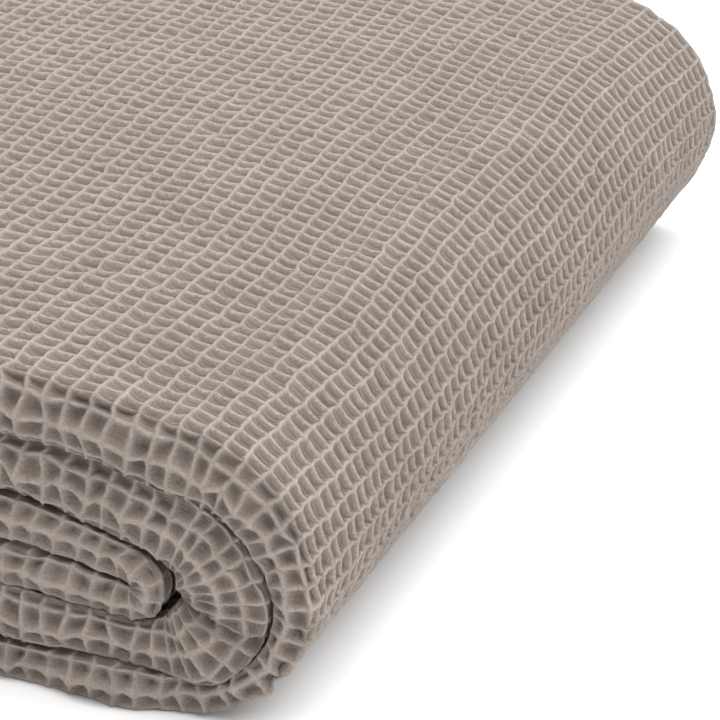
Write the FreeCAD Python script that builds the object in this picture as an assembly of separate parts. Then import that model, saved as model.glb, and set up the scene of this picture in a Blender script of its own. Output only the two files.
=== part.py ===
"""Folded waffle-weave throw blanket, as a stack of soft leaves, turns, hems and thread.

The flat throw is doubled twice along its length, so each leaf is four plies thick. The strip is
then folded in thirds and in half, so six leaves lie on each other, joined on the right by three
nested turns and on the left by two end folds. Millimetres, +Z up, the turns run along Y.
"""
import FreeCAD, Part
import math
import os

from FreeCAD import Vector

# Overall sizes of the folded throw
FOLDED_DEPTH = 325.0      # along Y, a quarter of the throw's flat width
LEAF_RUN = 238.0          # along X, from the end folds' axis to the turns' axis

# Thickness of each leaf in the level part of the stack, from the floor up
LEAF_LOFT = [11.5, 14.0, 13.5, 14.5, 16.0, 18.2]

# Thickness of each nested turn on the right, where the cloth is drawn tighter
INNER_TURN = 15.0
INNER_SETBACK = 14.0      # how far the inmost turn stops short of the others
MIDDLE_TURN = 13.7
OUTER_TURN = 9.7
SHOULDER_RUN = 89.0       # length over which the leaves come down to the turns

# Hems and thread
HEM_WIDTH = 7.0
HEM_REACH = 12.0          # how far the free end hem stands out past the end folds' axis
STITCH_LENGTH = 4.0
STITCH_PITCH = 5.6
THREAD = 0.7
SEAM_INSET = 5.5          # from the throw's edge to the seam

# Fits and edges
GAP = 0.3                 # clearance between soft pieces that lie on each other
EDGE_ROUND = 4.5          # rounding of the folded front edges
TURN_ROUND = 3.0          # rounding of the turns' front and back edges

LEAVES = ["outer_lower_leaf", "middle_lower_leaf", "inner_lower_leaf",
          "inner_upper_leaf", "middle_upper_leaf", "outer_upper_leaf"]
HEMS_FACE_UP = [True, False, False, True, True, False]

# Values worked out from the sizes above
TURN_RADIUS = INNER_TURN + MIDDLE_TURN + OUTER_TURN
TURN_WALLS = [0.0, INNER_TURN, INNER_TURN + MIDDLE_TURN, TURN_RADIUS]
LOFT_LEVELS = [sum(LEAF_LOFT[:count]) for count in range(len(LEAF_LOFT) + 1)]
TURN_LEVELS = [TURN_RADIUS - wall for wall in reversed(TURN_WALLS)]
TURN_LEVELS += [TURN_RADIUS + wall for wall in TURN_WALLS[1:]]
LOWER_FOLD_REACH = LOFT_LEVELS[3] / 2.0
UPPER_FOLD_REACH = (LOFT_LEVELS[6] - LOFT_LEVELS[4]) / 2.0
LEFT_REACH = max(LOWER_FOLD_REACH, UPPER_FOLD_REACH, HEM_REACH)
TOTAL_WIDTH = LEFT_REACH + LEAF_RUN + TURN_RADIUS
TURN_X = TOTAL_WIDTH / 2.0 - TURN_RADIUS
FOLD_X = TURN_X - LEAF_RUN
FRONT_Y = -FOLDED_DEPTH / 2.0
BACK_Y = FOLDED_DEPTH / 2.0
SHOULDER_X = TURN_X - SHOULDER_RUN


def level_value(levels, level):
    """Height of a boundary between leaves, where level may lie between two whole numbers."""
    low = min(int(math.floor(level)), len(levels) - 2)
    return levels[low] + (level - low) * (levels[low + 1] - levels[low])


def shoulder_drop(level):
    """How far the boundary at this level comes down between the level part and the turns."""
    return level_value(LOFT_LEVELS, level) - level_value(TURN_LEVELS, level)


def height_at(level, x):
    """Height of the boundary at this level, above the point x."""
    flat = level_value(LOFT_LEVELS, level)
    drop = shoulder_drop(level)
    if x <= SHOULDER_X or abs(drop) < 0.01:
        return flat
    radius = (SHOULDER_RUN ** 2 + drop ** 2) / (2.0 * abs(drop))
    fall = radius - math.sqrt(radius ** 2 - (x - SHOULDER_X) ** 2)
    return flat - math.copysign(fall, drop)


def boundary(level, x_start, x_end, lift):
    """Edges of the boundary at this level from x_start to x_end, moved up by lift."""
    def point(x):
        return Vector(x, 0.0, height_at(level, x) + lift)

    if x_end <= SHOULDER_X or abs(shoulder_drop(level)) < 0.01:
        return [Part.makeLine(point(x_start), point(x_end))]
    bend_start = max(x_start, SHOULDER_X)
    arc = Part.Arc(point(bend_start), point((bend_start + x_end) / 2.0), point(x_end)).toShape()
    if x_start >= SHOULDER_X:
        return [arc]
    return [Part.makeLine(point(x_start), point(SHOULDER_X)), arc]


def slab(low_level, high_level, x_start, x_end, y_start, y_end):
    """Solid between two boundaries of the stack, with half a gap left free all round."""
    half_gap = GAP / 2.0
    low_lift = half_gap if low_level > 0 else 0.0
    high_lift = -half_gap if high_level < len(LEAF_LOFT) else 0.0
    low = boundary(low_level, x_start, x_end, low_lift)
    high = boundary(high_level, x_start, x_end, high_lift)
    ends = []
    for x in (x_start, x_end):
        foot = Vector(x, 0.0, height_at(low_level, x) + low_lift)
        head = Vector(x, 0.0, height_at(high_level, x) + high_lift)
        ends.append(Part.makeLine(foot, head))
    wire = Part.Wire(Part.__sortEdges__(low + high + ends))
    solid = Part.Face(wire).extrude(Vector(0.0, y_end - y_start, 0.0))
    solid.translate(Vector(0.0, y_start, 0.0))
    return solid


def edges_at_y(shape, y, skip_upright):
    """Edges of a shape that lie in the plane at y, the upright ones left out if asked."""
    found = []
    for edge in shape.Edges:
        box = edge.BoundBox
        lies_in_plane = abs(box.YMin - y) < 0.001 and abs(box.YMax - y) < 0.001
        upright = box.XLength < 0.001
        if lies_in_plane and not (upright and skip_upright):
            found.append(edge)
    return found


def leaf_span(index):
    """Where one leaf starts and ends along X."""
    x_start = FOLD_X + GAP / 2.0
    if LEAVES[index] == "middle_lower_leaf":
        x_start = FOLD_X + HEM_WIDTH + GAP
    if LEAVES[index] == "inner_upper_leaf":
        x_start = FOLD_X - HEM_REACH + HEM_WIDTH + GAP
    x_end = TURN_X - GAP / 2.0
    if "inner" in LEAVES[index]:
        x_end -= INNER_SETBACK
    return x_start, x_end


def leaf(index):
    """One leaf of the stack: four plies as one pad, with the step at the back for its hems."""
    x_start, x_end = leaf_span(index)
    step_y = BACK_Y - HEM_WIDTH - GAP
    body = slab(index, index + 1, x_start, x_end, FRONT_Y, step_y)
    if HEMS_FACE_UP[index]:
        tongue = slab(index, index + 0.5, x_start, x_end, step_y, BACK_Y)
    else:
        tongue = slab(index + 0.5, index + 1, x_start, x_end, step_y, BACK_Y)
    pad = body.fuse(tongue).removeSplitter()
    radius = min(EDGE_ROUND, LEAF_LOFT[index] / 2.0 - GAP)
    return pad.makeFillet(radius, edges_at_y(pad, FRONT_Y, True))


def side_hems(index):
    """The two turned hems along the back of one leaf, one on the other."""
    low = index + 0.5 if HEMS_FACE_UP[index] else index
    x_start, x_end = leaf_span(index)
    strips = []
    for part_number in range(2):
        start = low + part_number * 0.25
        strips.append(slab(start, start + 0.25, x_start, x_end, BACK_Y - HEM_WIDTH, BACK_Y))
    return Part.makeCompound(strips)


def end_hems(index, x_start):
    """The four plies' turned hems at the free end of one leaf, one on the other."""
    strips = []
    for ply in range(4):
        low = index + ply * 0.25
        strips.append(slab(low, low + 0.25, x_start, x_start + HEM_WIDTH, FRONT_Y, BACK_Y))
    return Part.makeCompound(strips)


def arch(centre_x, side, outer, inner, y_start, y_end):
    """Half ring about an axis along Y, where outer and inner are (low, high) heights."""
    def arc(low, high):
        reach = side * (high - low) / 2.0
        middle = Vector(centre_x + reach, 0.0, (low + high) / 2.0)
        return Part.Arc(Vector(centre_x, 0.0, low), middle, Vector(centre_x, 0.0, high)).toShape()

    edges = [arc(*outer)]
    if inner is None:
        edges.append(Part.makeLine(Vector(centre_x, 0.0, outer[0]), Vector(centre_x, 0.0, outer[1])))
    else:
        edges.append(arc(*inner))
        for first, second in ((outer[0], inner[0]), (inner[1], outer[1])):
            edges.append(Part.makeLine(Vector(centre_x, 0.0, first), Vector(centre_x, 0.0, second)))
    solid = Part.Face(Part.Wire(Part.__sortEdges__(edges))).extrude(Vector(0.0, y_end - y_start, 0.0))
    solid.translate(Vector(0.0, y_start, 0.0))
    return solid


def rounded_arch(solid):
    """The half ring with its outer edge rounded at the front and at the back."""
    outer = []
    for y in (FRONT_Y, BACK_Y):
        arcs = [edge for edge in edges_at_y(solid, y, True) if edge.BoundBox.ZLength > TURN_ROUND]
        outer.append(max(arcs, key=lambda edge: edge.Length))
    return solid.makeFillet(TURN_ROUND, outer)


def turn(ring, setback):
    """One of the nested turns on the right, counted from the inmost (0) to the outer one (2)."""
    half_gap = GAP / 2.0
    start = TURN_X + half_gap - setback
    x = min(start, TURN_X)
    lift = half_gap if ring < 2 else 0.0
    outer = (height_at(2 - ring, x) + lift, height_at(4 + ring, x) - lift)
    inner = None
    if ring > 0:
        inner = (height_at(3 - ring, x) - half_gap, height_at(3 + ring, x) + half_gap)
    return rounded_arch(arch(start, 1, outer, inner, FRONT_Y, BACK_Y))


def lower_end_fold():
    """Fold on the left that joins the two leaves on each side of the middle lower leaf."""
    half_gap = GAP / 2.0
    outer = (0.0, LOFT_LEVELS[3] - half_gap)
    inner = (LOFT_LEVELS[1] - half_gap, LOFT_LEVELS[2] + half_gap)
    return rounded_arch(arch(FOLD_X - half_gap, -1, outer, inner, FRONT_Y, BACK_Y))


def upper_end_fold():
    """Fold on the left that joins the middle upper leaf to the outer upper leaf."""
    outer = (LOFT_LEVELS[4] + GAP / 2.0, LOFT_LEVELS[6])
    return rounded_arch(arch(FOLD_X - GAP / 2.0, -1, outer, None, FRONT_Y, BACK_Y))


def hem_stitching():
    """Two rows of stitches along the free end hem, one on each of its faces."""
    x = FOLD_X - HEM_REACH + SEAM_INSET
    count = int((FOLDED_DEPTH - STITCH_PITCH) // STITCH_PITCH)
    first_y = -(count - 1) * STITCH_PITCH / 2.0
    index = LEAVES.index("inner_upper_leaf")
    under = LOFT_LEVELS[index] + GAP / 2.0 - GAP / 3.0 - THREAD
    over = LOFT_LEVELS[index + 1] - GAP / 2.0 + GAP / 3.0
    stitches = []
    for z in (under, over):
        for number in range(count):
            y = first_y + number * STITCH_PITCH
            corner = Vector(x - THREAD / 2.0, y - STITCH_LENGTH / 2.0, z)
            stitches.append(Part.makeBox(THREAD, STITCH_LENGTH, THREAD, corner))
    return Part.makeCompound(stitches)


def build_parts():
    """Every sub-part by its name."""
    parts = {}
    for index, name in enumerate(LEAVES):
        parts[name] = leaf(index)
        parts[name.replace("leaf", "side_hems")] = side_hems(index)
    parts["inner_turn"] = turn(0, INNER_SETBACK)
    parts["middle_turn"] = turn(1, 0.0)
    parts["outer_turn"] = turn(2, 0.0)
    parts["lower_end_fold"] = lower_end_fold()
    parts["upper_end_fold"] = upper_end_fold()
    parts["middle_lower_end_hems"] = end_hems(LEAVES.index("middle_lower_leaf"), FOLD_X)
    parts["inner_upper_end_hems"] = end_hems(LEAVES.index("inner_upper_leaf"), FOLD_X - HEM_REACH)
    parts["hem_stitching"] = hem_stitching()
    return parts


os.makedirs("parts", exist_ok=True)
for part_name, shape in sorted(build_parts().items()):
    shape.exportStep(os.path.join("parts", part_name + ".step"))
    box = shape.BoundBox
    print("%-26s solids %3d valid %s  x %7.2f..%7.2f  y %7.2f..%7.2f  z %6.2f..%6.2f" % (
        part_name, len(shape.Solids), shape.isValid(), box.XMin, box.XMax, box.YMin, box.YMax,
        box.ZMin, box.ZMax))
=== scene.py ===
"""Folded waffle-weave throw: one long strip of doubled cloth, folded in thirds and in half."""

import logging
import math
from dataclasses import dataclass, field
from enum import Enum

import bpy
import numpy as np
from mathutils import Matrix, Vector


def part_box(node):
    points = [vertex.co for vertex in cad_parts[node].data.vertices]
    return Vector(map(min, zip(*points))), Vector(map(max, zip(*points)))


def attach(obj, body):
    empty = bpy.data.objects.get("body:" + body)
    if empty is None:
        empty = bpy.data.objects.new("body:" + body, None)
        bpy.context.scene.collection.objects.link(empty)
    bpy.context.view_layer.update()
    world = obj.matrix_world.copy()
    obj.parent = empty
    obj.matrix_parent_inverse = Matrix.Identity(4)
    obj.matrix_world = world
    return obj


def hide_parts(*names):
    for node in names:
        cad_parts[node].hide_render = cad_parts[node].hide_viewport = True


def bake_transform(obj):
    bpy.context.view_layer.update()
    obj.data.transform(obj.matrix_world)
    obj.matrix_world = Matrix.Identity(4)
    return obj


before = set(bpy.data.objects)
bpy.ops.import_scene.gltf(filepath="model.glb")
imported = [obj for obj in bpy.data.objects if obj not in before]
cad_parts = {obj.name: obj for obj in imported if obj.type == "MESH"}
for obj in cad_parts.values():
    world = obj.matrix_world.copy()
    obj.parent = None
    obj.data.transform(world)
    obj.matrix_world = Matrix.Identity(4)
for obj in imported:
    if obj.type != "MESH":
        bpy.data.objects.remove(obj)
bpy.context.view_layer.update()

LOG = logging.getLogger("throw")
LOWER, UPPER = "lower_half", "upper_half"
MM = 0.001
RINGS = ("outer_turn", "middle_turn", "inner_turn")
# Stretch, share of the way along it, how far its front fold is pushed in, and over what width, in mm.
PUSHES = (
    ("outer_lower", 0.06, 3.6, 15.0),
    ("outer_lower", 0.40, -1.6, 30.0),
    ("middle_turn", 0.68, 2.8, 9.0),
    ("middle_turn", 0.38, -3.6, 3.6),
    ("middle_turn", 0.18, 2.4, 7.0),
    ("inner_turn", 0.45, 1.5, 6.0),
)


def waves(place: np.ndarray, parts: tuple) -> np.ndarray:
    """Adds up sine waves.

    Args:
        place: where along the waves each point is.
        parts: rows of height, length for one radian, and phase.

    Returns:
        The sum at each point.
    """
    return sum(height * np.sin(place / length + phase) for height, length, phase in parts)


def lay_cells(mesh: bpy.types.Mesh, cells: np.ndarray) -> None:
    """Writes each vertex's cell coordinates into the mesh's UV map.

    Args:
        mesh: the mesh to write to.
        cells: two coordinates for every vertex.
    """
    loops = np.empty(len(mesh.loops), dtype=np.int32)
    mesh.loops.foreach_get("vertex_index", loops)
    layer = mesh.uv_layers[0]
    layer.name = "cells"
    layer.uv.foreach_set("vector", cells[loops].astype(np.float32).ravel())


def lay_weight(mesh: bpy.types.Mesh, name: str, values: np.ndarray) -> None:
    """Writes one number for each vertex, which the materials read.

    Args:
        mesh: the mesh to write to.
        name: what the attribute is called.
        values: one number for every vertex.
    """
    weight = mesh.attributes.new(name, "FLOAT", "POINT")
    weight.data.foreach_set("value", values.astype(np.float32))


def joined(parts: list, name: str) -> bpy.types.Object:
    """Joins several objects into one.

    Args:
        parts: the objects to join.
        name: what the result is called.

    Returns:
        The joined object, selected and active.
    """
    bpy.ops.object.select_all(action="DESELECT")
    for part in parts:
        part.select_set(True)
    bpy.context.view_layer.objects.active = parts[0]
    bpy.ops.object.join()
    piece = bpy.context.object
    piece.name = name
    return piece


class Detail(Enum):
    """How finely a piece of cloth is divided: stations in one cell, along and across."""

    FINE = ((0.0, 0.09, 0.24, 0.5, 0.76, 0.91), (0.0, 0.12, 0.3, 0.5, 0.7, 0.88))
    PLAIN = ((0.0, 0.16, 0.5, 0.84), (0.0, 0.17, 0.5, 0.83))


class Socket:
    """A value in a material, so that shader maths reads as plain expressions."""

    def __init__(self, shader: "Shader", link: object) -> None:
        """Keeps the shader that it belongs to and the output socket or number."""
        self.shader = shader
        self.link = link

    def _math(self, operation: str, *others: object) -> "Socket":
        """Adds one Math node.

        Args:
            operation: the Math node's operation.
            others: the further operands, as sockets or numbers.

        Returns:
            The node's result.
        """
        values = [self] + list(others)
        return self.shader.node("ShaderNodeMath", {"operation": operation}, values)

    def __add__(self, other: object) -> "Socket":
        """Sum."""
        return self._math("ADD", other)

    __radd__ = __add__

    def __sub__(self, other: object) -> "Socket":
        """Difference."""
        return self._math("SUBTRACT", other)

    def __rsub__(self, other: object) -> "Socket":
        """Difference, the other way round."""
        return self.shader.wrap(other)._math("SUBTRACT", self)

    def __mul__(self, other: object) -> "Socket":
        """Product."""
        return self._math("MULTIPLY", other)

    __rmul__ = __mul__

    def fract(self) -> "Socket":
        """What is left after the whole number is taken away."""
        return self._math("FRACT")

    def sine(self) -> "Socket":
        """Sine, in radians."""
        return self._math("SINE")

    def larger(self, other: object) -> "Socket":
        """The larger of two values."""
        return self._math("MAXIMUM", other)

    def to_line(self) -> "Socket":
        """Distance to the nearest whole number."""
        return self._math("PINGPONG", 0.5)

    def power(self, exponent: float) -> "Socket":
        """Raised to a power."""
        return self._math("POWER", exponent)

    def clamped(self) -> "Socket":
        """Held between 0 and 1."""
        return self._math("MINIMUM", 1.0)._math("MAXIMUM", 0.0)


class Shader:
    """A new material and the nodes in it."""

    def __init__(self, name: str) -> None:
        """Makes an empty material of this name."""
        self.material = bpy.data.materials.new(name)
        self.material.use_nodes = True
        self.tree = self.material.node_tree
        self.tree.nodes.clear()

    def wrap(self, value: object) -> Socket:
        """The value as a Socket, whatever it was."""
        return value if isinstance(value, Socket) else Socket(self, value)

    def node(self, kind: str, settings: dict, inputs: object, output: object = 0) -> Socket:
        """Adds one node.

        Args:
            kind: the node's type.
            settings: its own settings, set before its sockets.
            inputs: a list in socket order, or a dict by socket name or number.
            output: which output to hand back.

        Returns:
            That output.
        """
        made = self.tree.nodes.new(kind)
        for key, value in settings.items():
            setattr(made, key, value)
        pairs = inputs.items() if isinstance(inputs, dict) else enumerate(inputs)
        for key, value in pairs:
            target = made.inputs[key]
            source = value.link if isinstance(value, Socket) else value
            if isinstance(source, bpy.types.NodeSocket):
                self.tree.links.new(source, target)
            else:
                target.default_value = source
        return Socket(self, made.outputs[output])

    def mix_colour(self, share: object, first: object, second: object) -> Socket:
        """Mixes two colours.

        Args:
            share: from 0 for the first colour to 1 for the second.
            first: a colour or a socket.
            second: a colour or a socket.

        Returns:
            The mixed colour.
        """
        inputs = {0: share, 6: first, 7: second}
        return self.node("ShaderNodeMix", {"data_type": "RGBA"}, inputs, 2)

    def noise(self, scale: float, detail: float, roughness: float = 0.5) -> Socket:
        """Noise fixed to the piece.

        Args:
            scale: how fine it is, in lumps to a metre.
            detail: how many finer layers it has.
            roughness: how strong those layers are.

        Returns:
            The noise, from 0 to 1.
        """
        place = self.node("ShaderNodeTexCoord", {}, [], "Object")
        inputs = {"Vector": place, "Scale": scale, "Detail": detail, "Roughness": roughness}
        return self.node("ShaderNodeTexNoise", {}, inputs, 0)

    def finish(self, colour: Socket, roughness: Socket, normal: Socket, sheen: float) -> None:
        """Joins the surface to the material's output.

        Args:
            colour: the base colour.
            roughness: the roughness.
            normal: the normal, from a Bump node.
            sheen: how much sheen the fibres give.
        """
        inputs = {"Base Color": colour, "Roughness": roughness, "Normal": normal}
        inputs["Sheen Weight"] = sheen
        inputs["Sheen Roughness"] = 0.6
        inputs["Specular IOR Level"] = 0.18
        surface = self.node("ShaderNodeBsdfPrincipled", {}, inputs)
        made = self.tree.nodes.new("ShaderNodeOutputMaterial")
        self.tree.links.new(surface.link, made.inputs["Surface"])


@dataclass(frozen=True)
class WaffleFinish:
    """Cotton waffle cloth: thin pale ribs, and wells with fine yarns across them, made darker with painted
    shade.
    """

    name: str = "waffle_cotton"
    # The first colour is the cotton on the lit rib tops; the next two are darker copies of it, painted shade
    # for the wells and painted shadow for the deepest pits.
    rib: tuple = (0.63, 0.54, 0.472, 1.0)
    shaded_well: tuple = (0.345, 0.278, 0.226, 1.0)
    pit_shadow: tuple = (0.115, 0.079, 0.055, 1.0)
    long_width: float = 0.12
    cross_width: float = 0.125

    def make(self) -> bpy.types.Material:
        """Builds the material.

        Returns:
            The finished material, which reads the cloth's own cell coordinates.
        """
        shader = Shader(self.name)
        turn = 2.0 * math.pi
        place = shader.node("ShaderNodeUVMap", {"uv_map": "cells"}, [])
        along = shader.node("ShaderNodeSeparateXYZ", {}, [place], 0)
        across = Socket(shader, along.link.node.outputs[1])
        height = shader.node("ShaderNodeAttribute", {"attribute_name": "rib"}, [], 2)
        front = shader.node("ShaderNodeAttribute", {"attribute_name": "front"}, [], 2)
        fleck = shader.noise(2600.0, 3.0, 0.7)
        fuzz = shader.noise(5200.0, 2.0, 0.8)
        patch = shader.noise(45.0, 2.0)
        wander = shader.noise(420.0, 2.0) - 0.5
        kink = shader.noise(1100.0, 2.0) - 0.5
        scallop = ((across * turn) + math.pi / 2.0).sine() * 0.02
        near_long = (along + wander * 0.12 + kink * 0.16 + scallop).to_line()
        near_cross = (across + wander * 0.16 + kink * 0.18).to_line()
        long_rib = (1.0 - near_long * (1.0 / self.long_width)).clamped()
        cross_rib = (1.0 - near_cross * (1.0 / self.cross_width)).clamped()
        crisp = long_rib.larger(cross_rib).power(0.7) * (1.0 - front * 0.55)
        # How far below the ribs a point lies; it sets the painted shade in the wells.
        low = (1.0 - height * 0.6 - crisp * 0.7).clamped()
        yarn = ((across * 5.0 + wander * 0.4 + kink * 0.3) * turn).sine()
        # Dark gaps between the yarns in the wells: painted shade.
        gap = (0.5 - yarn * 0.5).power(1.6) * low * (1.0 - front)
        ply = ((along * 7.0 + across * 11.0 + kink * 2.0) * turn).sine()
        to_side, to_end = along.fract() - 0.5, across.fract() - 0.5
        radius = (to_side * to_side + to_end * to_end).power(0.5)
        loops = ((radius * 7.0 + wander * 2.4 + kink * 1.2) * turn).sine() * front
        # Painted shadow cast by the ribs, darkest at one corner of each cell.
        rib_shadow = (to_side + 0.5) * (0.65 - to_end)
        # Painted shade in the deep holes of the cells by the front fold.
        hole_shade = (1.0 - height).power(1.3) * front
        # All the painted shade together: wells, gaps between yarns, the ribs' shadow and the holes.
        depth = low * (0.05 + rib_shadow * 0.9) * (1.0 - front) + gap * (0.15 + rib_shadow * 0.9) + hole_shade * 0.62
        fibre = (fleck - 0.5) * 0.9 + (fuzz - 0.5) * 0.8 + loops * 0.08 + kink * 0.35
        # Lit rib tone on the ribs and raised tops, shaded well tone between them, with real fibre flecks on
        # both.
        share = (crisp * 0.62 + height.power(2.0) * 0.40 + yarn * low * 0.10 + fibre).clamped()
        yarn_and_shade = shader.mix_colour(share, self.shaded_well, self.rib)
        # The painted shade darkens the colour towards the near-black pit tone.
        yarn_and_shade = shader.mix_colour((depth * 0.95).clamped(), yarn_and_shade, self.pit_shadow)
        tone = shader.node("ShaderNodeCombineColor", {}, [patch * 0.24 + 0.88] * 3)
        colour = shader.node("ShaderNodeMix", {"data_type": "RGBA", "blend_type": "MULTIPLY"},
                             {0: 1.0, 6: yarn_and_shade, 7: tone}, 2)
        lift = crisp * 1.0 + yarn * low * 0.2 + ply * height * 0.14 + loops * 0.22
        lift = lift + fleck * 1.5 + fuzz * 1.1 + kink * (0.6 + front * 1.6)
        inputs = {"Strength": 0.9, "Distance": 0.0005, "Height": lift}
        normal = shader.node("ShaderNodeBump", {}, inputs)
        shader.finish(colour, fleck * 0.15 + 0.82, normal, 0.25)
        return shader.material


@dataclass(frozen=True)
class HemFinish:
    """The same cotton, turned twice and pressed: flat with a fine even weave."""

    name: str = "pressed_hem"
    light: tuple = (0.42, 0.353, 0.30, 1.0)
    dark: tuple = (0.25, 0.20, 0.16, 1.0)

    def make(self) -> bpy.types.Material:
        """Builds the material.

        Returns:
            The finished material.
        """
        shader = Shader(self.name)
        place = shader.node("ShaderNodeUVMap", {"uv_map": "cells"}, [])
        along = shader.node("ShaderNodeSeparateXYZ", {}, [place], 0)
        across = Socket(shader, along.link.node.outputs[1])
        fleck = shader.noise(2600.0, 3.0, 0.7)
        warp = (along * (2.0 * math.pi * 6.0)).sine()
        weft = (across * (2.0 * math.pi * 5.0)).sine()
        weave = warp * weft * 0.5 + 0.5
        colour = shader.mix_colour((weave * 0.6 + fleck * 0.5).clamped(), self.dark, self.light)
        lift = weave * 0.8 + fleck * 0.7
        normal = shader.node("ShaderNodeBump", {}, {"Strength": 0.5, "Distance": 0.0003, "Height": lift})
        shader.finish(colour, fleck * 0.15 + 0.8, normal, 0.2)
        return shader.material


@dataclass(frozen=True)
class ThreadFinish:
    """Matt sewing thread with a fine twist."""

    name: str = "hem_thread"
    colour: tuple = (0.47, 0.40, 0.345, 1.0)
    shadow: tuple = (0.27, 0.22, 0.18, 1.0)

    def make(self) -> bpy.types.Material:
        """Builds the material.

        Returns:
            The finished material.
        """
        shader = Shader(self.name)
        fleck = shader.noise(5200.0, 2.0)
        place = shader.node("ShaderNodeTexCoord", {}, [], "Object")
        x = shader.node("ShaderNodeSeparateXYZ", {}, [place], 0)
        y = Socket(shader, x.link.node.outputs[1])
        twist = ((x * 2200.0 + y * 3100.0) * (2.0 * math.pi)).sine() * 0.5 + 0.5
        colour = shader.mix_colour((twist * 0.5 + fleck * 0.5).clamped(), self.shadow, self.colour)
        normal = shader.node("ShaderNodeBump", {}, {"Strength": 0.4, "Distance": 0.0001, "Height": twist})
        shader.finish(colour, fleck * 0.1 + 0.65, normal, 0.1)
        return shader.material


@dataclass
class Levels:
    """Heights of the boundaries between the stacked leaves, read from the frame."""

    gap: float = 0.3 * MM
    fold_x: float = 0.0
    turn_x: float = 0.0
    front_y: float = 0.0
    back_y: float = 0.0
    shoulder: float = 45.0 * MM
    nest: tuple = (9.6, 22.5, 32.0, 41.5, 56.1)
    centres: tuple = (0.0, 4.2, -7.6, -7.6)
    inner_shoulder: float = 36.0 * MM
    crease: float = 0.6 * MM
    ripples: tuple = ((0.7, 0.0193, 1.7), (0.45, 0.0081, 2.9))
    ripple_fade: float = 15.0 * MM
    loft: list = field(default_factory=list)
    turn: list = field(default_factory=list)

    def __post_init__(self) -> None:
        """Reads the boxes of the leaves and turns."""
        top_low, top_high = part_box("outer_upper_leaf")
        self.fold_x = top_low[0]
        self.turn_x = top_high[0]
        self.front_y = top_low[1]
        self.back_y = top_high[1]
        names = ["outer_lower_leaf", "middle_lower_leaf", "inner_lower_leaf", "inner_upper_leaf",
                 "middle_upper_leaf"]
        self.loft = [0.0]
        for name in names:
            leaf_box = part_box(name)
            hem_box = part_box(name.replace("leaf", "side_hems"))
            self.loft.append(max(leaf_box[1][2], hem_box[1][2]) + self.gap / 2.0)
        self.loft.append(top_high[2])
        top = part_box("outer_turn")[1][2]
        self.turn = [0.0] + [height * MM for height in self.nest] + [top]

    def centre(self, ring: int) -> float:
        """Where a turn's outer wall has its centre.

        Args:
            ring: the turn, counted from the outermost one.

        Returns:
            The centre's x.
        """
        return self.turn_x + self.centres[ring] * MM

    def at(self, level: int, x: np.ndarray) -> np.ndarray:
        """Height of one boundary between leaves.

        Args:
            level: the boundary, counted from the floor.
            x: the points to give it over.

        Returns:
            The height over each point.
        """
        drop = self.loft[level] - self.turn[level]
        short = np.maximum(self.centre(min(level, 6 - level)) - x, 0.0)
        if level in (0, 6):
            return self.loft[level] - drop * np.exp(-short / self.shoulder)
        height = self.loft[level] - drop * np.exp(-short / self.inner_shoulder)
        wave = waves(x, tuple((rise, length, shift * level) for rise, length, shift in self.ripples))
        fade = np.clip(short / self.ripple_fade - 0.5, 0.0, 1.0)
        return height + wave * fade * MM


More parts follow.
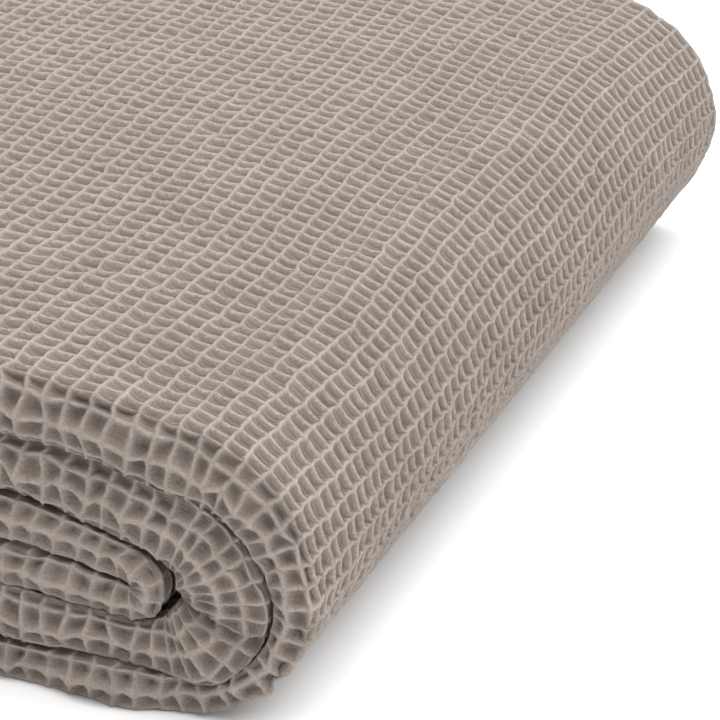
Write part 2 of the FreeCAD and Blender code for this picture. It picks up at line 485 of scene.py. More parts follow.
@dataclass
class StripPath:
    """Centre line of the folded strip, seen from the front, from one end hem to the other."""

    levels: Levels
    step: float = 0.5 * MM
    smooth: float = 3.0 * MM
    hem_reach: float = 12.0 * MM
    slack: float = 2.2 * MM
    marks: dict = field(default_factory=dict)

    def __post_init__(self) -> None:
        """Lays the leaves, turns and end folds one after another and smooths the joins."""
        self.raw = []
        plan = [
            ("middle_lower", lambda: self.leaf(1, False)),
            ("middle_turn", lambda: self.turn(1, True)),
            ("middle_upper", lambda: self.leaf(4, True)),
            ("upper_fold", lambda: self.end_fold(4, 5)),
            ("outer_upper", lambda: self.leaf(5, False)),
            ("outer_turn", lambda: self.turn(0, False)),
            ("outer_lower", lambda: self.leaf(0, True)),
            ("lower_fold", lambda: self.end_fold(0, 2)),
            ("inner_lower", lambda: self.leaf(2, False)),
            ("inner_turn", lambda: self.turn(2, True)),
            ("inner_upper", lambda: self.leaf(3, True)),
        ]
        ends = []
        for name, lay in plan:
            self.raw.extend(lay())
            ends.append((name, len(self.raw)))
        points = np.array(self.raw)
        run = np.concatenate([[0.0], np.cumsum(np.hypot(*np.diff(points[:, :2], axis=0).T))])
        start = 0.0
        for name, count in ends:
            self.marks[name] = (start, run[count - 1])
            start = run[count - 1]
        even = np.arange(0.0, run[-1], self.step)
        rows = np.stack([np.interp(even, run, points[:, column]) for column in range(3)], 1)
        reach = int(4 * self.smooth / self.step)
        offsets = np.arange(-reach, reach + 1) * self.step
        kernel = np.exp(-0.5 * (offsets / self.smooth) ** 2)
        kernel /= kernel.sum()
        before = rows[0] - (rows[1:reach + 1] - rows[0])[::-1]
        after = rows[-1] - (rows[-reach - 1:-1] - rows[-1])[::-1]
        padded = np.concatenate([before, rows, after])
        soft = np.stack([np.convolve(padded[:, column], kernel, "valid") for column in range(3)], 1)
        self.x, self.z, self.thickness = soft.T
        tangent = np.gradient(soft[:, :2], axis=0)
        tangent /= np.linalg.norm(tangent, axis=1)[:, None]
        self.normal_x, self.normal_z = -tangent[:, 1], tangent[:, 0]
        self.run = self.outermost_run()
        self.marks = {name: tuple(np.interp(ends, even, self.run)) for name, ends in self.marks.items()}

    def outermost_run(self) -> np.ndarray:
        """Length of the ply that goes the longer way round.

        Returns:
            That length, up to each point of the path.
        """
        steps = []
        for sign in (1.0, -1.0):
            face_x = self.x + sign * self.normal_x * self.thickness / 2.0
            face_z = self.z + sign * self.normal_z * self.thickness / 2.0
            steps.append(np.hypot(np.diff(face_x), np.diff(face_z)))
        return np.concatenate([[0.0], np.cumsum(np.maximum(*steps))])

    def length(self, start: float, end: float, share: float) -> float:
        """Length between two marks of a line inside the strip.

        Args:
            start: distance along the strip where the line begins.
            end: distance where it ends.
            share: the line's place, from -0.5 on the back to 0.5 on the face.

        Returns:
            The line's length.
        """
        x, z, nx, nz, thickness = self.at(np.linspace(start, end, 200))
        line_x, line_z = x + nx * thickness * share, z + nz * thickness * share
        return float(np.hypot(np.diff(line_x), np.diff(line_z)).sum())

    def leaf(self, index: int, leftward: bool) -> list:
        """Points along one leaf.

        Args:
            index: the leaf's place in the stack, from the floor up.
            leftward: whether the strip runs towards the end folds here.

        Returns:
            Rows of x, z and thickness.
        """
        reach = self.hem_reach if index == 3 else 0.0
        ring = min(index, 5 - index)
        end = (self.levels.centre(ring) + self.levels.centre(ring + 1)) / 2.0
        x = np.linspace(self.levels.fold_x - reach, end, 240)
        low = self.levels.at(index, x)
        high = self.levels.at(index + 1, x)
        if ring == 2:
            open_by = self.levels.crease * np.exp(-((end - x) / 0.012) ** 2)
            low, high = (low, high - open_by) if index == 2 else (low + open_by, high)
        rows = np.stack([x, (low + high) / 2.0, high - low - self.levels.gap], 1)
        return list(rows[::-1] if leftward else rows)

    def wall(self, ring: int, angles: np.ndarray, slack: float) -> tuple:
        """Points on the outer wall of a turn.

        Args:
            ring: the turn, counted from the outermost one.
            angles: where round the turn, 0 being its nose.
            slack: how far the wall swells at its nose.

        Returns:
            The points' x and z.
        """
        low, high = self.levels.turn[ring], self.levels.turn[6 - ring]
        radius = max((high - low) / 2.0, self.levels.crease) + slack * np.cos(angles) ** 2
        return (self.levels.centre(ring) + radius * np.cos(angles),
                (low + high) / 2.0 + radius * np.sin(angles))

    def turn(self, ring: int, rising: bool) -> list:
        """Points round one of the nested turns.

        Args:
            ring: the turn, counted from the outermost one.
            rising: whether the strip climbs here.

        Returns:
            Rows of x, z and thickness.
        """
        angles = np.linspace(-math.pi / 2.0, math.pi / 2.0, 120)[1:-1]
        slack = (0.3, 1.0, 0.0)[ring] * self.slack
        outer_x, outer_z = self.wall(ring, angles, 0.0)
        inner_x, inner_z = self.wall(ring + 1, angles, slack)
        thickness = np.hypot(outer_x - inner_x, outer_z - inner_z) - self.levels.gap
        rows = np.stack([(outer_x + inner_x) / 2.0, (outer_z + inner_z) / 2.0, thickness], 1)
        return list(rows if rising else rows[::-1])

    def end_fold(self, low_leaf: int, high_leaf: int) -> list:
        """Points round one of the end folds, which rises from one leaf to another.

        Args:
            low_leaf: the leaf that it starts from, from the floor up.
            high_leaf: the leaf that it reaches.

        Returns:
            Rows of x, z and thickness.
        """
        x = np.array([self.levels.fold_x])
        middles, walls = [], []
        for leaf in (low_leaf, high_leaf):
            low, high = self.levels.at(leaf, x)[0], self.levels.at(leaf + 1, x)[0]
            middles.append((low + high) / 2.0)
            walls.append(high - low - self.levels.gap)
        radius = (middles[1] - middles[0]) / 2.0
        angles = np.linspace(-math.pi / 2.0, math.pi / 2.0, 90)[1:-1]
        share = (angles / math.pi) + 0.5
        return list(np.stack([
            self.levels.fold_x - radius * np.cos(angles),
            (middles[0] + middles[1]) / 2.0 + radius * np.sin(angles),
            walls[0] + (walls[1] - walls[0]) * share], 1))

    def at(self, s: np.ndarray) -> tuple:
        """The strip at some distances along it.

        Args:
            s: the distances.

        Returns:
            Its x, z, normal's x and z, and thickness.
        """
        values = (self.x, self.z, self.normal_x, self.normal_z, self.thickness)
        return tuple(np.interp(s, self.run, value) for value in values)


@dataclass
class Weave:
    """The waffle cells: their size, their relief and how unevenly they lie."""

    along: float = 5.9 * MM
    across: float = 4.85 * MM
    depth: float = 2.0 * MM
    ring_depth: float = 3.0 * MM
    uneven: float = 0.05
    seed: int = 7
    front_rows: float = 2.2
    puffy_rows: float = 8.0
    long_rib: tuple = (0.115, 0.035, 0.06)
    cross_rib: tuple = (0.13, 0.04, 0.05)
    front_calm: float = 0.6
    front_loose: float = 1.1
    scallop: float = 0.045
    row_offset: float = 30.0

    def __post_init__(self) -> None:
        """Draws the unevenness of every crossing and cell once, for the whole throw."""
        draw = np.random.default_rng(self.seed)
        shape = (320, 110)
        self.shift_along = draw.normal(0.0, self.uneven, shape)
        self.shift_across = draw.normal(0.0, self.uneven, shape)
        self.lift = draw.normal(0.0, 0.09, shape)
        self.hollow = draw.normal(1.0, 0.18, shape)
        self.bow = draw.normal(-0.13, 0.06, shape)
        self.lump = draw.normal(0.0, 1.0, shape)

    @staticmethod
    def eased(share: np.ndarray) -> np.ndarray:
        """Softens the ends of a share.

        Args:
            share: values from 0 to 1.

        Returns:
            The softened values.
        """
        return share * share * (3.0 - 2.0 * share)

    def crossings(self, table: np.ndarray, u: np.ndarray, v: np.ndarray) -> np.ndarray:
        """Values of a table at the crossings, blended to the points between them.

        Args:
            table: one value for each crossing.
            u: cell coordinate along the strip.
            v: cell coordinate across it.

        Returns:
            A value for each point.
        """
        v = v + self.row_offset
        i, j = np.floor(u).astype(int), np.floor(v).astype(int)
        fu, fv = self.eased(u - i), self.eased(v - j)
        i, j = i % (table.shape[0] - 1), j % (table.shape[1] - 1)
        near = table[i, j] * (1 - fu) + table[i + 1, j] * fu
        far = table[i, j + 1] * (1 - fu) + table[i + 1, j + 1] * fu
        return near * (1 - fv) + far * fv

    def columns(self, table: np.ndarray, u: np.ndarray, v: np.ndarray) -> np.ndarray:
        """Values of a table for each column of cells, blended along the column.

        Args:
            table: one value for each cell.
            u: cell coordinate along the strip.
            v: cell coordinate across it.

        Returns:
            A value for each point.
        """
        v = v + self.row_offset
        i, j = np.floor(u).astype(int) % table.shape[0], np.floor(v).astype(int)
        fv = self.eased(v - j)
        j = j % (table.shape[1] - 1)
        return table[i, j] * (1 - fv) + table[i, j + 1] * fv

    def nearness(self, v: np.ndarray) -> np.ndarray:
        """How much a point belongs to the front fold, where the cells are pulled open.

        Args:
            v: cell coordinate across the strip.

        Returns:
            From 0 for not at all to 1 on the fold's edge.
        """
        return np.exp(-(v / self.front_rows) ** 2)

    def warp(self, u: np.ndarray, v: np.ndarray) -> tuple:
        """Where the cell coordinates really lie, after the cloth's unevenness.

        Args:
            u: cell coordinate along the strip.
            v: cell coordinate across it.

        Returns:
            The moved u and v.
        """
        calm = 1.0 - self.front_calm * self.nearness(v)
        wave = waves(u, ((0.30, 9.3, 1.1), (0.16, 3.7, v / 17.0)))
        slant = waves(v, ((0.34, 12.4, 0.6), (0.14, 4.1, u / 15.0)))
        fu = u - np.floor(u)
        arch = self.columns(self.bow, u, v) * 4.0 * fu * (1.0 - fu)
        loose = 1.0 + self.front_loose * self.nearness(v)
        scallop = self.scallop * np.cos(2.0 * math.pi * v) * calm
        new_u = u + slant + scallop + self.crossings(self.shift_along, u, v) * loose
        new_v = v + (wave + arch) * calm + self.crossings(self.shift_across, u, v) * loose
        return new_u, new_v

    def relief(self, u: np.ndarray, v: np.ndarray) -> tuple:
        """The height of the weave.

        Args:
            u: cell coordinate along the strip.
            v: cell coordinate across it.

        Returns:
            Depth below the rib tops, and how much of a rib each point is.
        """
        near_u, near_v = np.abs(u - np.round(u)), np.abs(v - np.round(v))
        fu, fv = u - np.floor(u), v - np.floor(v)
        front = self.nearness(v)
        puffy = np.exp(-(v / self.puffy_rows) ** 2)
        widths = [base + more * puffy + most * front for base, more, most in (self.long_rib, self.cross_rib)]
        long_rib = np.exp(-(near_u / widths[0]) ** 2)
        cross_rib = np.exp(-(near_v / widths[1]) ** 2)
        sag_u, sag_v = (2.0 * near_u) ** 2, (2.0 * near_v) ** 2
        rib = np.maximum(long_rib * (1.0 - 0.10 * sag_v), cross_rib * (1.0 - 0.06 * sag_u))
        rib = np.clip(rib + self.crossings(self.lift, u, v) * rib, 0.0, 1.0)
        bowl = self.eased(np.clip(np.hypot(fu - 0.5, fv - 0.5) * 3.0 - 0.62, 0.0, 1.0))
        rib = np.maximum(rib, bowl * front)
        floor = self.columns(self.hollow, u, v) * (0.78 + 0.30 * fu + 0.20 * (1.0 - fv) * (1.0 - front))
        deep = self.depth + (self.ring_depth - self.depth) * front
        lump = self.crossings(self.lump, u, v) * (0.10 + 0.45 * front) * MM
        return deep * (1.0 - rib) * floor + lump, rib


class Side(Enum):
    """Which part of the strip's section a piece of cloth covers."""

    FACE = "face"
    FRONT = "front"
    BACK = "back"


@dataclass
class ClothPiece:
    """One piece of cloth along the strip, with its relief, cell coordinates and rib weight."""

    name: str
    path: StripPath
    weave: Weave
    cells: tuple
    side: Side
    detail: Detail
    tail: float = 12.0 * MM
    bulge: float = 0.45
    press: float = 0.7
    front_rows: int = 3
    front_stations: tuple = (0.0, 0.1, 0.22, 0.36, 0.5, 0.64, 0.78, 0.9)
    front_waves: tuple = ((0.9, 0.047, 0.4), (0.7, 0.0193, 2.0), (0.5, 0.0091, 0.0))
    back_waves: tuple = ((0.8, 0.033, 0.0), (0.6, 0.0127, 1.0))
    front_reach: float = 36.0 * MM
    back_reach: float = 14.0 * MM
    far_reach: float = 9.0 * MM
    flat: tuple = (0.0, 0.0)

    def front_edge(self, s: np.ndarray) -> np.ndarray:
        """Where the front fold stands.

        Args:
            s: distance along the strip.

        Returns:
            The fold's y at each distance.
        """
        edge = 0.6 + waves(s, self.front_waves)
        for mark, share, push, width in PUSHES:
            start, end = self.path.marks[mark]
            middle = start + (end - start) * share
            edge = edge - push * np.exp(-((s - middle) / (width * MM)) ** 2)
        return self.path.levels.front_y + edge * MM

    def back_edge(self, s: np.ndarray) -> np.ndarray:
        """Where the inner fold stands.

        Args:
            s: distance along the strip.

        Returns:
            The fold's y at each distance.
        """
        return self.path.levels.back_y + (3.0 - waves(s, self.back_waves)) * MM

    def row_range(self, thickness: float) -> tuple:
        """Which rows of cells the piece has.

        Args:
            thickness: the strip's thickness here.

        Returns:
            First and last whole row, counted from the front fold's edge.
        """
        across = self.weave.across
        tail_rows = -int(round((thickness / 2.0 * 1.27 + self.tail) / across))
        if self.side is Side.FRONT:
            return tail_rows, int(round(self.front_reach / across))
        if self.side is Side.BACK:
            reach = math.pi * thickness / 8.0 + self.back_reach
            return -int(round(reach / across)), int(round(reach / across))
        depth = self.path.levels.back_y - self.path.levels.front_y
        return tail_rows, int(round((depth + thickness * 0.55 + self.far_reach) / across))

    def section(self, s: np.ndarray, t: np.ndarray) -> tuple:
        """Places the points of the face, its front fold and the inner fold at its back.

        Args:
            s: distance along the strip.
            t: distance from the front fold's edge, positive on the face.

        Returns:
            Points and outward normals, each as arrays of x, y and z.
        """
        x, z, nx, nz, thickness = self.path.at(s)
        half = thickness / 2.0
        nose = half * self.bulge
        quarter = np.maximum((half + nose) * math.pi / 4.0, 1e-6)
        angle = np.clip(t / quarter, -1.0, 1.0) * math.pi / 2.0
        beyond = np.maximum(np.abs(t) - quarter, 0.0)
        off = half * np.sin(angle)
        y = self.front_edge(s) + nose * (1.0 - np.cos(angle)) + beyond
        out_n, out_y = nose * np.sin(angle), -half * np.cos(angle)
        size = np.maximum(np.hypot(out_n, out_y), 1e-9)
        out_n, out_y = out_n / size, out_y / size
        radius = np.maximum(half / 2.0, 1e-6)
        start = self.back_edge(s) - radius
        over = np.where(t > 0.0, np.maximum(y - start, 0.0), 0.0)
        turned = np.clip(over / radius, 0.0, math.pi)
        inward = np.maximum(over - math.pi * radius, 0.0)
        off = off - radius * (1.0 - np.cos(turned))
        y = y - over + radius * np.sin(turned) - inward
        out_n = np.where(over > 0.0, np.cos(turned), out_n)
        out_y = np.where(over > 0.0, np.sin(turned), out_y)
        points = np.stack([x + nx * off, y, z + nz * off], -1)
        normals = np.stack([nx * out_n, out_y, nz * out_n], -1)
        return points, normals

    def pressed(self, s: np.ndarray, t: np.ndarray) -> np.ndarray:
        """How much the relief is pressed flat, where the leaves lie against each other.

        Args:
            s: distance along the strip.
            t: distance from the front fold's edge, positive on the face.

        Returns:
            From 0 for full relief to 1 for none.
        """
        if self.side is Side.BACK:
            return np.zeros_like(t)
        half = self.path.at(s)[4] / 2.0
        quarter = np.maximum(half * (1.0 + self.bulge) * math.pi / 4.0, 1e-6)
        near = Weave.eased(np.clip(np.abs(t) / quarter * 2.2 - 1.2, 0.0, 1.0))
        fade = np.exp(-np.maximum(np.abs(t) - quarter, 0.0) / (10.0 * MM))
        covered = self.side is Side.FRONT or self.detail is Detail.PLAIN
        return self.press * near * fade * ((t < 0.0) | covered)

    def back_section(self, s: np.ndarray, t: np.ndarray) -> tuple:
        """Places the points of the inner fold at the back, which holds two plies.

        Args:
            s: distance along the strip.
            t: distance from the fold's edge, positive towards the face.

        Returns:
            Points and outward normals.
        """
        x, z, nx, nz, thickness = self.path.at(s)
        radius = np.maximum(thickness / 4.0, 1e-6)
        angle = np.clip(t / radius, -math.pi / 2.0, math.pi / 2.0)
        beyond = np.maximum(np.abs(t) - radius * math.pi / 2.0, 0.0)
        off = radius + radius * np.sin(angle)
        y = self.back_edge(s) - radius * (1.0 - np.cos(angle)) - beyond
        out_n, out_y = np.sin(angle), np.cos(angle)
        points = np.stack([x + nx * off, y, z + nz * off], -1)
        normals = np.stack([nx * out_n, out_y, nz * out_n], -1)
        return points, normals

    def lines(self, rows: tuple) -> tuple:
        """Cell coordinates of the grid's lines, finer where the front fold is.

        Args:
            rows: first and last whole row of cells.

        Returns:
            The lines' u and v.
        """
        first, last = self.cells
        u = (np.arange(first, last)[:, None] + np.array(self.detail.value[0])).ravel()
        v = []
        for row in range(*rows):
            near = self.side is not Side.BACK and -self.front_rows <= row < self.front_rows
            v.extend(row + share for share in (self.front_stations if near else self.detail.value[1]))
        return np.append(u, last), np.append(np.array(v), rows[1])

    def build(self) -> bpy.types.Object:
        """Makes the piece from a flat grid whose lines follow the cells.

        Returns:
            The finished object, at the origin.
        """
        first, last = self.cells
        middle = np.array([(first + last) / 2.0 * self.weave.along])
        rows = self.row_range(self.path.at(middle)[4][0])
        u, v = self.lines(rows)
        bpy.ops.object.select_all(action="DESELECT")
        bpy.ops.mesh.primitive_grid_add(x_subdivisions=len(u) - 1, y_subdivisions=len(v) - 1, size=1.0)
        piece = bpy.context.object
        piece.name = self.name
        grid_u, grid_v = (values.ravel() for values in np.meshgrid(u, v))
        points, rib = self.place(grid_u, grid_v)
        mesh = piece.data
        mesh.vertices.foreach_set("co", points.astype(np.float32).ravel())
        lay_cells(mesh, np.stack([grid_u, grid_v], 1))
        lay_weight(mesh, "rib", rib)
        near = self.weave.nearness(grid_v) if self.side is not Side.BACK else np.zeros_like(grid_v)
        lay_weight(mesh, "front", near)
        if self.side is Side.BACK:
            mesh.flip_normals()
        mesh.shade_smooth()
        mesh.update()
        shares = {Side.FACE: (0.5, 0.25), Side.FRONT: (0.0,), Side.BACK: (0.15,)}[self.side]
        ends = first * self.weave.along, last * self.weave.along
        width = max(self.path.length(*ends, share) for share in shares)
        self.flat = (width, (rows[1] - rows[0]) * self.weave.across)
        area = sum(polygon.area for polygon in mesh.polygons) / (self.flat[0] * self.flat[1])
        LOG.info("%s: %d vertices, area %.2f of flat", self.name, len(u) * len(v), area)
        return piece

    def place(self, grid_u: np.ndarray, grid_v: np.ndarray) -> tuple:
        """Where the grid's points lie, with the relief pressed in where the cloth is bunched.

        Args:
            grid_u: cell coordinate along the strip of every point.
            grid_v: cell coordinate across the strip.

        Returns:
            The points, and how much of a rib each one is.
        """
        lay = self.back_section if self.side is Side.BACK else self.section
        warped_u, warped_v = self.weave.warp(grid_u, grid_v)
        s, t = warped_u * self.weave.along, warped_v * self.weave.across
        points, normals = lay(s, t)
        step = 0.5 * MM
        spread = np.linalg.norm(lay(s + step, t)[0] - lay(s - step, t)[0], axis=1) / (2.0 * step)
        depth, rib = self.weave.relief(grid_u, grid_v)
        first, last = self.cells
        draw = np.random.default_rng(self.weave.seed + first)
        inside = (grid_u > first) & (grid_u < last)
        coarse = 0.05 + 0.13 * self.weave.nearness(grid_v)
        rough = draw.normal(0.0, 1.0, len(grid_u)) * inside * coarse * MM
        depth = (depth * (1.0 - self.pressed(s, t)) + rough) * np.clip(spread, 0.2, 1.0)
        points = points - normals * depth[:, None]
        points[:, 2] = np.maximum(points[:, 2], 0.0)
        return points, rib


@dataclass
class HemStrips:
    """The two turned hems, one on the other, along the back of one stretch of the strip."""

    name: str
    path: StripPath
    weave: Weave
    cells: tuple
    width: float = 7.0 * MM
    points_round: int = 5

    def build(self) -> bpy.types.Object:
        """Makes both strips as rounded flat tubes that follow the strip.

        Returns:
            The finished object.
        """
        first, last = self.cells
        stations = np.linspace(first, last, (last - first) * 3 + 1) * self.weave.along
        return joined([self.tube(stations, layer) for layer in range(2)], self.name)

    def tube(self, stations: np.ndarray, layer: int) -> bpy.types.Object:
        """One hem as a closed flat tube.

        Args:
            stations: distances along the strip.
            layer: 0 for the outer hem, 1 for the one next to the inner fold.

        Returns:
            The tube.
        """
        around = self.profile()
        bpy.ops.object.select_all(action="DESELECT")
        bpy.ops.mesh.primitive_grid_add(x_subdivisions=len(stations) - 1,
                                        y_subdivisions=len(around) - 1, size=1.0)
        tube = bpy.context.object
        s, row = np.meshgrid(stations, np.arange(len(around)))
        s, row = s.ravel(), row.ravel()
        x, z, nx, nz, thickness = self.path.at(s)
        quarter = thickness / 4.0
        middle = -quarter * (1.5 if layer == 0 else 0.5)
        swell = 1.0 + waves(s, ((0.10, 0.0061, layer), (0.06, 0.0027, 0.0)))
        off = middle + around[row, 1] * quarter * 0.47 * swell
        wave = waves(s, ((0.5, 0.021, 2.0 * layer), (0.35, 0.0083, 0.0))) * MM
        back = self.path.levels.back_y - 0.8 * MM - layer * 0.9 * MM + wave
        y = back - self.width / 2.0 + around[row, 0] * self.width / 2.0
        points = np.stack([x + nx * off, y, z + nz * off], 1)
        mesh = tube.data
        mesh.vertices.foreach_set("co", points.astype(np.float32).ravel())
        lay_cells(mesh, np.stack([s / self.weave.along, row * 0.3], 1))
        bpy.ops.object.mode_set(mode="EDIT")
        bpy.ops.mesh.select_all(action="SELECT")
        bpy.ops.mesh.remove_doubles(threshold=1e-6)
        bpy.ops.mesh.normals_make_consistent(inside=False)
        bpy.ops.object.mode_set(mode="OBJECT")
        mesh.shade_smooth()
        return tube

    def profile(self) -> np.ndarray:
        """Outline of a flat hem with round edges.

        Returns:
            A closed row of points, each way from -1 to 1.
        """
        rows = []
        for sign in (1.0, -1.0):
            for number in range(self.points_round):
                angle = math.pi / 2.0 - math.pi * number / (self.points_round - 1)
                rows.append((sign * (0.86 + 0.14 * math.cos(angle)), sign * math.sin(angle)))
        rows.append(rows[0])
        return np.array(rows)


@dataclass
class EndHems:
    """The four turned ends of the plies at one free end of the strip."""

    name: str
    path: StripPath
    weave: Weave
    at_start: bool
    width: float = 7.0 * MM

    def build(self) -> bpy.types.Object:
        """Makes four flat bars, one for each ply.

        Returns:
            The finished object.
        """
        end = 0.0 if self.at_start else self.path.run[-1]
        x, z, _, _, thickness = (value.item() for value in self.path.at(np.array([end])))
        inward = self.width / 2.0
        bars = []
        levels = self.path.levels
        length = levels.back_y - levels.front_y - 7.0 * MM
        for ply in range(4):
            height = z + (ply - 1.5) * thickness / 4.0
            jog = (0.9, -0.5, 0.3, -0.8)[ply] * MM
            bpy.ops.object.select_all(action="DESELECT")
            bpy.ops.mesh.primitive_cube_add(size=1.0, location=(x + inward + jog, 0.0, height),
                                            scale=(self.width, length, thickness / 4.0 * 0.92))
            bar = bpy.context.object
            bpy.ops.object.transform_apply(location=True, rotation=False, scale=True)
            bpy.ops.object.mode_set(mode="EDIT")
            bpy.ops.mesh.select_all(action="SELECT")
            bpy.ops.mesh.bevel(offset=thickness / 10.0, segments=4, affect="EDGES")
            bpy.ops.object.mode_set(mode="OBJECT")
            bar.data.shade_smooth()
            bars.append(bar)
        piece = joined(bars, self.name)
        mesh = piece.data
        coords = np.empty(len(mesh.vertices) * 3, dtype=np.float32)
        mesh.vertices.foreach_get("co", coords)
        coords = coords.reshape(-1, 3)
        lay_cells(mesh, np.stack([coords[:, 1] / self.weave.across, coords[:, 0] / self.weave.along], 1))
        return piece


@dataclass
class Stitching:
    """The two rows of stitches along the free end hem, one on each of its faces."""

    path: StripPath
    pitch: float = 5.6 * MM
    length: float = 4.4 * MM
    radius: float = 0.4 * MM

    def build(self) -> bpy.types.Object:
        """Models one stitch and copies it along both faces of the hem.

        Returns:
            All the stitches as one object.
        """
        bpy.ops.object.select_all(action="DESELECT")
        bpy.ops.mesh.primitive_uv_sphere_add(segments=8, ring_count=6, radius=1.0)
        stitch = bpy.context.object
        bpy.ops.object.mode_set(mode="EDIT")
        bpy.ops.mesh.select_all(action="SELECT")
        bpy.ops.transform.resize(value=(self.radius, self.length / 2.0, self.radius))
        bpy.ops.object.mode_set(mode="OBJECT")
        low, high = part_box("hem_stitching")
        middle = (low[0] + high[0]) / 2.0
        _, z, _, _, thickness = (value.item() for value in self.path.at(self.path.run[-1:]))
        count = int(round((high[1] - low[1]) / self.pitch)) + 1
        first = -(count - 1) * self.pitch / 2.0
        copies = []
        for side in (-1.0, 1.0):
            for number in range(count):
                copy = bpy.data.objects.new("stitch", stitch.data.copy())
                bpy.context.scene.collection.objects.link(copy)
                sway = 0.12 * MM * math.sin(number * 1.7)
                copy.location = (middle + sway, first + number * self.pitch, z + side * thickness * 0.49)
                copy.rotation_euler = (0.0, 0.0, 0.05 * math.sin(number * 2.3))
                copies.append(copy)
        bpy.data.objects.remove(stitch)
        piece = joined(copies, "hem_stitches")
        bpy.ops.object.transform_apply(location=True, rotation=True, scale=True)
        piece.data.shade_smooth()
        return piece


@dataclass(frozen=True)
class Stretch:
    """One stretch of the strip: what it is called, what it stands for and what it rides on."""

    mark: str
    node: str
    body: str
    side: Side
    detail: Detail
    hems: str = ""
    blended: float = 0.0


@dataclass
class Throw:
    """The whole folded throw."""

    levels: Levels = field(default_factory=Levels)
    weave: Weave = field(default_factory=Weave)
    hem_width: float = 7.0 * MM
    most_cells: int = 26
    least_blend: float = 0.8 * MM

    def stretches(self) -> list:
        """Every stretch of the strip in order, with the frame's nodes it replaces."""
        face, front = Side.FACE, Side.FRONT
        fine, plain = Detail.FINE, Detail.PLAIN
        return [
            Stretch("middle_lower", "middle_lower_leaf", LOWER, front, fine, "middle_lower_side_hems"),
            Stretch("middle_turn", "middle_turn", "", front, fine, "", 1.0),
            Stretch("middle_upper", "middle_upper_leaf", UPPER, front, fine, "middle_upper_side_hems"),
            Stretch("upper_fold", "upper_end_fold", UPPER, face, fine),
            Stretch("outer_upper", "outer_upper_leaf", UPPER, face, fine, "outer_upper_side_hems"),
            Stretch("outer_turn", "outer_turn", "", face, fine, "", 1.0),
            Stretch("outer_lower", "outer_lower_leaf", LOWER, face, plain, "outer_lower_side_hems"),
            Stretch("lower_fold", "lower_end_fold", LOWER, face, fine),
            Stretch("inner_lower", "inner_lower_leaf", LOWER, face, plain, "inner_lower_side_hems"),
            Stretch("inner_turn", "inner_turn", "", face, plain, "", 1.0),
            Stretch("inner_upper", "inner_upper_leaf", UPPER, face, plain, "inner_upper_side_hems"),
        ]

    def cells(self, path: StripPath, stretch: Stretch) -> tuple:
        """Which cells a stretch has; it stops short of a hemmed end.

        Args:
            path: the folded strip.
            stretch: the stretch of it.

        Returns:
            First and last cell.
        """
        start, end = path.marks[stretch.mark]
        if stretch.mark == "middle_lower":
            start += self.hem_width
        if stretch.mark == "inner_upper":
            end -= self.hem_width
        extra = {"inner_turn": (-1, 1), "inner_lower": (0, -1), "inner_upper": (1, 0)}
        before, after = extra.get(stretch.mark, (0, 0))
        return int(round(start / self.weave.along)) + before, int(round(end / self.weave.along)) + after

    def sheets(self, stretch: Stretch, cells: tuple) -> list:
        """Says which sheets make one stretch.

        Args:
            stretch: the stretch.
            cells: its first and last cell.

        Returns:
            Each sheet's name ending, side and cells.
        """
        first, last = cells
        if stretch.side is Side.FRONT:
            return [("_cloth", Side.FRONT, cells), ("_back_fold", Side.BACK, cells)]
        if last - first <= self.most_cells:
            return [("_cloth", Side.FACE, cells)]
        middle = (first + last) // 2
        return [("_cloth", Side.FACE, (middle, last)), ("_far_cloth", Side.FACE, (first, middle))]

    def carry(self, piece: bpy.types.Object, stretch: Stretch) -> None:
        """Rides a piece on its body; a piece of a turn only has its transform baked in.

        Args:
            piece: the piece.
            stretch: the stretch that it belongs to.
        """
        if not stretch.blended:
            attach(piece, stretch.body)
            return
        ring = RINGS.index(stretch.node)
        low, high = self.levels.turn[ring + 1], self.levels.turn[5 - ring]
        if high - low < self.least_blend:
            middle = (low + high) / 2.0
            low, high = middle - self.least_blend / 2.0, middle + self.least_blend / 2.0
        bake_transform(piece)

    def build(self) -> None:
        """Makes every piece and dresses it."""
        path = StripPath(self.levels)
        cloth, hem_cloth, thread = WaffleFinish().make(), HemFinish().make(), ThreadFinish().make()
        for stretch in self.stretches():
            cells = self.cells(path, stretch)
            hems = HemStrips(stretch.mark + "_hems", path, self.weave, cells).build()
            hems.data.materials.append(hem_cloth)
            self.carry(hems, stretch)
            if stretch.hems:
                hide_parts(stretch.hems)
            for number, (suffix, side, span) in enumerate(self.sheets(stretch, cells)):
                cloth_piece = ClothPiece(stretch.mark + suffix, path, self.weave, span, side, stretch.detail)
                piece = cloth_piece.build()
                piece.data.materials.append(cloth)
                self.carry(piece, stretch)
                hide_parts(stretch.node)
        for name, node, at_start, body in (("lower_end_hems", "middle_lower_end_hems", True, LOWER),
                                           ("upper_end_hems", "inner_upper_end_hems", False, UPPER)):
            piece = EndHems(name, path, self.weave, at_start).build()
            piece.data.materials.append(hem_cloth)
            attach(piece, body)
            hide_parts(node)
        stitches = Stitching(path).build()
        stitches.data.materials.append(thread)
        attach(stitches, UPPER)
        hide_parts("hem_stitching")


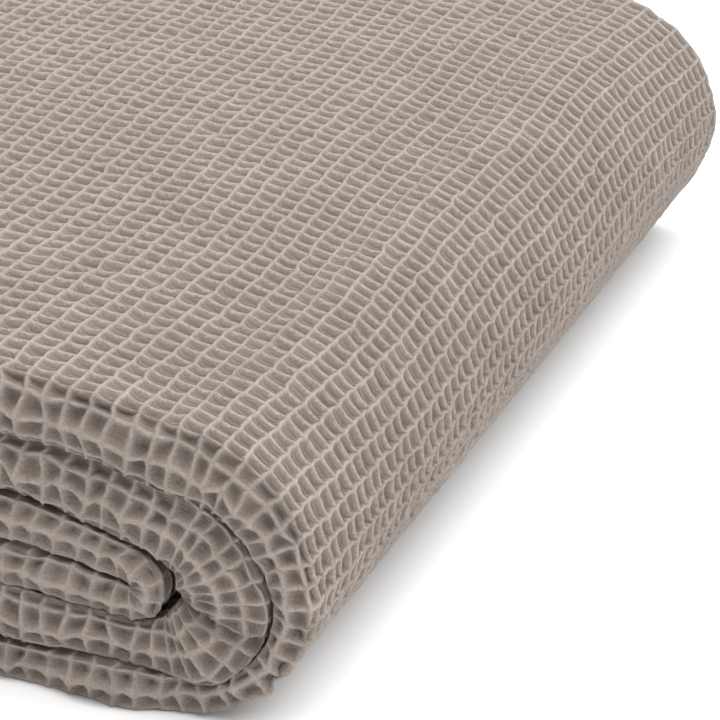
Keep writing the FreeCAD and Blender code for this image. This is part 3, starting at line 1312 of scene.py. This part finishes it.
@dataclass(frozen=True)
class Studio:
    """Pale floor, soft light and the camera."""

    heading: float = 22.2
    pitch: float = 25.9
    lens: float = 156.9
    camera_place: tuple = (0.3923, -0.7309, 0.4010)

    def floor(self) -> None:
        """Adds the pale floor."""
        bpy.ops.object.select_all(action="DESELECT")
        bpy.ops.mesh.primitive_plane_add(size=12.0, location=(0.0, 0.0, -0.0004))
        floor = bpy.context.object
        floor.name = "studio_floor"
        shader = Shader("studio_floor")
        grain = shader.noise(3.0, 2.0)
        colour = shader.mix_colour(grain, (0.92, 0.92, 0.92, 1.0), (0.95, 0.95, 0.95, 1.0))
        bump = shader.node("ShaderNodeBump", {}, {"Strength": 0.02, "Distance": 0.001, "Height": grain})
        shader.finish(colour, grain * 0.1 + 0.8, bump, 0.0)
        floor.data.materials.append(shader.material)

    def lamp(self, name: str, place: tuple, aim: tuple, size: float, power: float) -> None:
        """Adds one large soft light.

        Args:
            name: what the light is called.
            place: where it stands.
            aim: the point that it faces.
            size: its side.
            power: its strength in watts.
        """
        data = bpy.data.lights.new(name, "AREA")
        data.size = size
        data.energy = power
        lamp = bpy.data.objects.new(name, data)
        bpy.context.scene.collection.objects.link(lamp)
        lamp.location = place
        direction = Vector(aim) - Vector(place)
        lamp.rotation_euler = direction.to_track_quat("-Z", "Y").to_euler()

    def lights(self) -> None:
        """Adds the key light, the fill and the pale surroundings."""
        self.lamp("key", (0.40, 0.25, 2.1), (0.0, 0.0, 0.05), 3.0, 88.0)
        self.lamp("fill", (1.7, -0.9, 1.2), (0.0, 0.0, 0.05), 1.8, 8.0)
        world = bpy.data.worlds.new("studio")
        world.use_nodes = True
        world.node_tree.nodes["Background"].inputs["Color"].default_value = (1.0, 1.0, 1.0, 1.0)
        world.node_tree.nodes["Background"].inputs["Strength"].default_value = 0.72
        bpy.context.scene.world = world

    def camera(self) -> None:
        """Adds the camera, low and to the right of the front."""
        data = bpy.data.cameras.new("camera")
        data.lens = self.lens
        data.sensor_width = 36.0
        data.clip_start = 0.02
        camera = bpy.data.objects.new("camera", data)
        bpy.context.scene.collection.objects.link(camera)
        camera.location = self.camera_place
        heading, pitch = math.radians(self.heading), math.radians(self.pitch)
        level = math.cos(pitch)
        look = Vector((-math.sin(heading) * level, math.cos(heading) * level, -math.sin(pitch)))
        camera.rotation_euler = look.to_track_quat("-Z", "Y").to_euler()
        bpy.context.scene.camera = camera

    def build(self) -> None:
        """Sets up the whole studio."""
        self.camera()
        self.floor()
        self.lights()
        bpy.context.scene.view_settings.view_transform = "Standard"


def main() -> None:
    """Builds the studio and the throw."""
    logging.basicConfig(level=logging.INFO)
    Studio().build()
    Throw().build()


if __name__ == "__main__":
    main()
